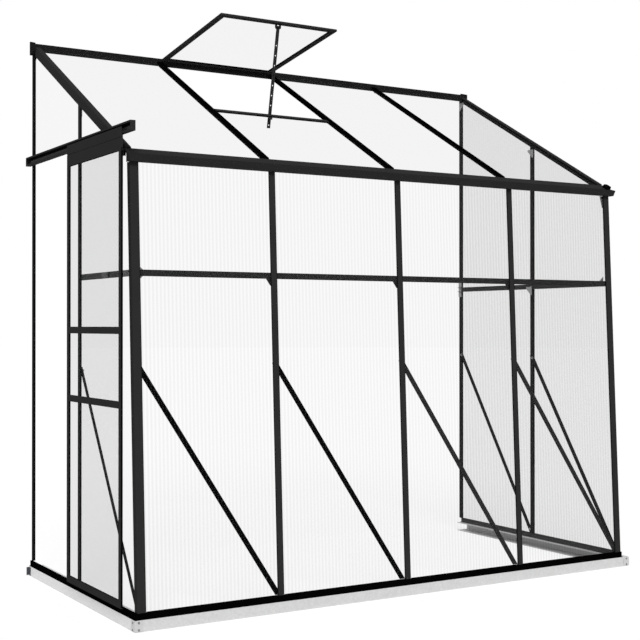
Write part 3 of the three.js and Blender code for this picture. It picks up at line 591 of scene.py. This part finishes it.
caps = bmesh.new()
for side in (-1, 1):
    for y, z in RIDGE_SCREWS:
        ridge_spot = at(side * (HALF + RIDGE_CAP_OUT), y, z)
        socket_screw(caps, ridge_spot, side * RIGHT, radius=4, height=1.8)
    for y, z in GUTTER_SCREWS:
        socket_screw(caps, at(GUTTER_ENDS[side], y, z), side * RIGHT, radius=3, height=1.4)
    track_cap = at(TRACK_CAP_X, TRACK_CAPS[side], TRACK_SCREW_Z)
    socket_screw(caps, track_cap, side * BACK, radius=3.5, height=0.8)
for y in TRACK_SCREWS:
    socket_screw(caps, at(TRACK_FACE, y, TRACK_SCREW_Z), -RIGHT, radius=4, height=2)
into_scene("cap_screws", caps, frame_coat, "frame")

# %% [markdown]
# ## The eave's end cap
# A rounded black cap closes the eave where the last roof sheet and the right-hand rafter meet it.
# Its hood is the same all along, so it is drawn like a seal, only wider.

# %% End cap
HOOD = [(-15, -2), (-15, 8), (-13, 12.5), (-9, 14.5), (9, 14.5), (13, 12.5), (15, 8), (15, -2)]
HOOD_X, HOOD_RUNS, HOOD_LIFT = HALF - 3, (-2, 24), 2

end_cap = bmesh.new()
hood_low, hood_high = (on_roof(HOOD_X, run, HOOD_LIFT) for run in HOOD_RUNS)
drawn(end_cap, hood_low, hood_high, OUT_ROOF, HOOD)
into_scene("eave_end_cap", end_cap, rubber, "frame")

# %% [markdown]
# ## Corner plates
# Where a rail meets a post, a small stamped plate of zinc ties the two. They sit on the room side,
# and shine through the sheets as light grey patches at the corners of the far end.

# %% Corner plates
GUSSET = [(0, 0), (42, 0), (42, 8), (8, 42), (0, 42)]
SMALL_CORNER = [(0, 0), (26, 0), (0, 22)]
EAVE_TAPER = [(0, 0), (24, 0), (8, 56), (0, 56)]
STRAP = [(0, 0), (24, 0), (24, 78), (0, 78)]
POST_IN, BEHIND_RAIL = POST - 2, 82.5
RAIL_OVER, RAIL_UNDER = 1364, 1341
TAPER_SPOT = at(HALF - POST + 8, 90, FRONT_HEAD)
STRAP_SPOT = at(HALF - 11, WALL - 0.5, 1312)
MULLION_SPOT = at(HALF - 20.8, MULLION - 15, RAIL_Z)
END_IN, WALL_CORNER, MULLION_CORNER = 9, (WALL - 1, 2402), (MULLION - 14, 2068)

plates = bmesh.new()
stamped(plates, at(-HALF + POST_IN, BEHIND_RAIL, RAIL_OVER), RIGHT, UP, SMALL_CORNER)
stamped(plates, at(-HALF + POST_IN, BEHIND_RAIL, RAIL_UNDER), RIGHT, -UP, SMALL_CORNER)
stamped(plates, at(HALF - POST_IN, BEHIND_RAIL, RAIL_OVER), -RIGHT, UP, SMALL_CORNER)
stamped(plates, TAPER_SPOT, -RIGHT, -UP, EAVE_TAPER)
stamped(plates, STRAP_SPOT, -BACK, UP, STRAP)
stamped(plates, MULLION_SPOT, BACK, -UP, GUSSET)
for side in (-1, 1):
    stamped(plates, at(side * (HALF - END_IN), *WALL_CORNER), -BACK, -UP, GUSSET)
    stamped(plates, at(side * (HALF - END_IN), *MULLION_CORNER), BACK, -UP, GUSSET)
into_scene("corner_plates", plates, grey_plate, "frame")

# %% [markdown]
# ## The door's small parts
# The door hangs from two rollers inside the track, whose bolts show as two flat heads on the cover.
# Each of its rails is screwed at both ends, its sheet has a seal on all four sides, and a flat
# rubber strip runs up both edges of the door. All of it rides on the door.

# %% Door screws
DOOR_OUT, DOOR_FRONT, DOOR_BACK = -HALF - 34.2, 82.5, 682.5
DOOR_RAILS, RAIL_END = (89, 847, 1132, 1830), 12
ROLLER_IN, ROLLER_Z = 80, 1890
SCREW_FACE, BOLT_FACE = DOOR_OUT + 0.45, DOOR_OUT + 0.5

door_screws = bmesh.new()
for y in (DOOR_FRONT + RAIL_END, DOOR_BACK - RAIL_END):
    for z in DOOR_RAILS:
        socket_screw(door_screws, at(SCREW_FACE, y, z), -RIGHT, radius=3.4, height=0.25)
for y in (DOOR_FRONT + ROLLER_IN, DOOR_BACK - ROLLER_IN):
    socket_screw(door_screws, at(BOLT_FACE, y, ROLLER_Z), -RIGHT, radius=5, height=0.3)
into_scene("door_screws", door_screws, frame_coat, "door")

# %% Door seals
DOOR_SHEET, DOOR_MIDDLE = DOOR_OUT + SHEET_IN, DOOR_OUT + 4.0
SHEET_FOOT, SHEET_HEAD, HEAD_SEAL = 105, 1817, 1816.8
EDGE_STRIP, EDGE_FOOT = [(-3.8, -0.2), (-3.8, 0.7), (3.8, 0.7), (3.8, -0.2)], 78
CROSS_IN = 28

door_seals = bmesh.new()
for y in (DOOR_FRONT + BAR + SEAL_HALF, DOOR_BACK - BAR - SEAL_HALF):
    drawn(door_seals, at(DOOR_SHEET, y, SHEET_FOOT), at(DOOR_SHEET, y, SHEET_HEAD), -RIGHT, SEAL)
for z in (SHEET_FOOT, HEAD_SEAL):
    start, end = (at(DOOR_SHEET, y, z) for y in (DOOR_FRONT + CROSS_IN, DOOR_BACK - CROSS_IN))
    drawn(door_seals, start, end, -RIGHT, SEAL)
for y, side in ((DOOR_FRONT, -1), (DOOR_BACK, 1)):
    start, end = (at(DOOR_MIDDLE, y, z) for z in (EDGE_FOOT, SHEET_HEAD))
    drawn(door_seals, start, end, side * BACK, EDGE_STRIP)
into_scene("door_seals", door_seals, rubber, "door")

# %% [markdown]
# ## The track and the blocks on the rail
# The upper half of the track's back wall, where the rollers run, is always in shade, so a thin
# black band there is painted shade. The lower half catches some light, so a paler band there is
# painted light. Two black nylon blocks sit on the left rail.

# %% Track bands of painted shade and painted light
TRACK_LOW, SHADE_LOW, TRACK_HIGH = 1884.6, 1907.0, 1919.7
TRACK_FRONT, TRACK_BACK = 4, 1244
BAND_DEPTH = 0.3


def paint_track_band(name, low, high, material):
    """A thin band along the back wall of the track, between two heights."""
    middle, reach = (low + high) / 2, (high - low) / 2
    band = [(-reach, 0), (-reach, BAND_DEPTH), (reach, BAND_DEPTH), (reach, 0)]
    start, end = (at(TRACK_FACE, y, middle) for y in (TRACK_FRONT, TRACK_BACK))
    band_mesh = bmesh.new()
    drawn(band_mesh, start, end, -RIGHT, band)
    into_scene(name, band_mesh, material, "frame")


# The lower band is painted light and the upper band painted shade, both on the track's back wall.
paint_track_band("track_painted_light", TRACK_LOW, SHADE_LOW, painted_light_coat)
paint_track_band("track_painted_shade", SHADE_LOW, TRACK_HIGH, rubber)

# %% Rail blocks
BLOCK = [(-11.5, 0), (-11.5, 4.5), (-9, 6), (9, 6), (11.5, 4.5), (11.5, 0)]
BLOCK_X, BLOCK_Z = -HALF + 8.3, 1352.3
BLOCK_ENDS = ((92, 160), (313, 378))

blocks = bmesh.new()
for front, back in BLOCK_ENDS:
    drawn(blocks, at(BLOCK_X, front, BLOCK_Z), at(BLOCK_X, back, BLOCK_Z), -RIGHT, BLOCK)
into_scene("rail_blocks", blocks, nylon, "frame")

# %% [markdown]
# ## The vent's small parts
# The roof vent is a frame of the same bar, turned about its back edge. `on_vent` follows it: a
# place on it is counted from the hinge, towards the free edge, and up off its middle plane. It has
# a seal round its sheet on both faces, a screw in each corner, and the pin of the stay between
# two screws. All of it is made on the open vent, as the photograph shows it, and rides on it.

# %% Setting out the vent
OPEN = math.radians(7.7)
VENT_X, HINGE_Y, HINGE_Z = -BAY / 2, 1199.9, 2437.08
VENT_HALF, VENT_LONG = 300.0, 646.6  # half of its width, and from the hinge to the free edge
VENT_SKIN = 4.8  # from its middle plane to its upper face
OUT_VENT = Vector((0, math.sin(OPEN), math.cos(OPEN)))


def on_vent(across, back, lift):
    y = HINGE_Y - back * math.cos(OPEN) + lift * math.sin(OPEN)
    return at(VENT_X + across, y, HINGE_Z + back * math.sin(OPEN) + lift * math.cos(OPEN))


print("the vent's free edge stands", round(VENT_LONG * math.sin(OPEN)), "mm above its hinge")

# %% Vent seals
SHEET_SKIN = 2
CROSS_GAP = 2
inner = VENT_HALF - BAR - SEAL_HALF
near, far = BAR - VENT_SKIN + SEAL_HALF, VENT_LONG - BAR - SEAL_HALF

vent_seals = bmesh.new()
for face in (-1, 1):
    lift = face * SHEET_SKIN
    for x in (-inner, inner):
        drawn(vent_seals, on_vent(x, near, lift), on_vent(x, far, lift), OUT_VENT * face, SEAL)
    for back in (near, far):
        start, end = (on_vent(x, back, lift) for x in (-inner + CROSS_GAP, inner - CROSS_GAP))
        drawn(vent_seals, start, end, OUT_VENT * face, SEAL)
into_scene("vent_seals", vent_seals, rubber, "vent")

# %% Vent screws
SCREW_LIFT = VENT_SKIN - 0.2
PIN_BACK, PIN_DROP, PIN_END = 620.0, 14.0, 11.5

vent_screws = bmesh.new()
for x in (-VENT_HALF + HALF_BAR, VENT_HALF - HALF_BAR):
    for back in (HALF_BAR - VENT_SKIN, VENT_LONG - HALF_BAR):
        corner = on_vent(x, back, SCREW_LIFT)
        socket_screw(vent_screws, corner, OUT_VENT, radius=3.6, height=1.4)
for side in (-1, 1):
    pin_end = on_vent(side * PIN_END, PIN_BACK, -PIN_DROP)
    socket_screw(vent_screws, pin_end, side * RIGHT, radius=4.2, height=1.6)
into_scene("vent_screws", vent_screws, frame_coat, "vent")

# %% [markdown]
# ## The studio
# A white floor and a white world, as in a catalogue. The camera, mirrors and glass see pure white;
# every other ray sees a grey sky, so the white is a backdrop and isn't what lights the object.
# The floor has a grey of its own and just enough glow for the camera to bring it to white, so a
# shadow still falls on it. Two broad suns light the front and, weakly, the left end.

# %% World
WHITE = linear("#ffffff")
SKY_STRENGTH = 0.38


def sees_backdrop(tree):
    """1 for the camera's rays and for those of gloss and glass, 0 for all the others."""
    rays = add(tree, "LightPath")
    seen = rays.outputs["Is Camera Ray"]
    for kind in ("Is Glossy Ray", "Is Transmission Ray"):
        seen = add(tree, "Math", {"operation": "MAXIMUM"}, {0: seen, 1: rays.outputs[kind]}).outputs[0]
    return seen


world = bpy.data.worlds.new("studio")
bpy.context.scene.world = world
world.use_nodes = True
tree = world.node_tree
tree.nodes.clear()
sky = add(tree, "Background", {"Color": WHITE, "Strength": SKY_STRENGTH})
backdrop = add(tree, "Background", {"Color": WHITE, "Strength": 1.0})
both = add(tree, "MixShader", {}, {0: sees_backdrop(tree), 1: sky.outputs[0], 2: backdrop.outputs[0]})
add(tree, "OutputWorld", {}, {0: both.outputs[0]})
print("the sky lights at", SKY_STRENGTH, "of white")

# %% Floor
FLOOR_RADIUS, FLOOR_SIDES = 60, 64
FLOOR_DROP = 0.5 * MM
FLOOR_GREY, SHADOW_GREY = linear("#e6e6e6"), linear("#8e8e8e")
FLOOR_GLOW = 0.782

floor_mesh = bmesh.new()
below = Matrix.Translation((0, 0, -FLOOR_DROP))
bmesh.ops.create_circle(
    floor_mesh, cap_ends=True, radius=FLOOR_RADIUS, segments=FLOOR_SIDES, matrix=below)
floor_data = bpy.data.meshes.new("floor")
floor_mesh.to_mesh(floor_data)
floor_mesh.free()
floor = bpy.data.objects.new("floor", floor_data)
bpy.context.scene.collection.objects.link(floor)
floor_paint = bpy.data.materials.new("studio_floor")
floor_paint.use_nodes = True
tree = floor_paint.node_tree
tree.nodes.clear()
matt = add(tree, "BsdfDiffuse", {"Color": FLOOR_GREY})
shadow = add(tree, "BsdfDiffuse", {"Color": SHADOW_GREY})
glow = add(tree, "Emission", {"Strength": FLOOR_GLOW})
lit = add(tree, "AddShader", {}, {0: shadow.outputs[0], 1: glow.outputs[0]})
both = add(tree, "MixShader", {}, {0: sees_backdrop(tree), 1: matt.outputs[0], 2: lit.outputs[0]})
add(tree, "OutputMaterial", {}, {0: both.outputs[0]})
floor_data.materials.append(floor_paint)
print("the floor is", 2 * FLOOR_RADIUS, "m across")


# %% Lamps
def sun(name, direction, strength, softness):
    """A sun that shines in this direction; softness is the angle that it fills in the sky."""
    data = bpy.data.lights.new(name, "SUN")
    data.energy = strength
    data.angle = math.radians(softness)
    lamp = bpy.data.objects.new(name, data)
    lamp.rotation_euler = Vector(direction).to_track_quat("-Z", "Y").to_euler()
    bpy.context.scene.collection.objects.link(lamp)
    print(name, "at strength", strength)


sun("key_light", direction=(0.30, 0.72, -0.62), strength=2.3, softness=25)
sun("side_light", direction=(0.9, -0.1, -0.4), strength=0.32, softness=40)
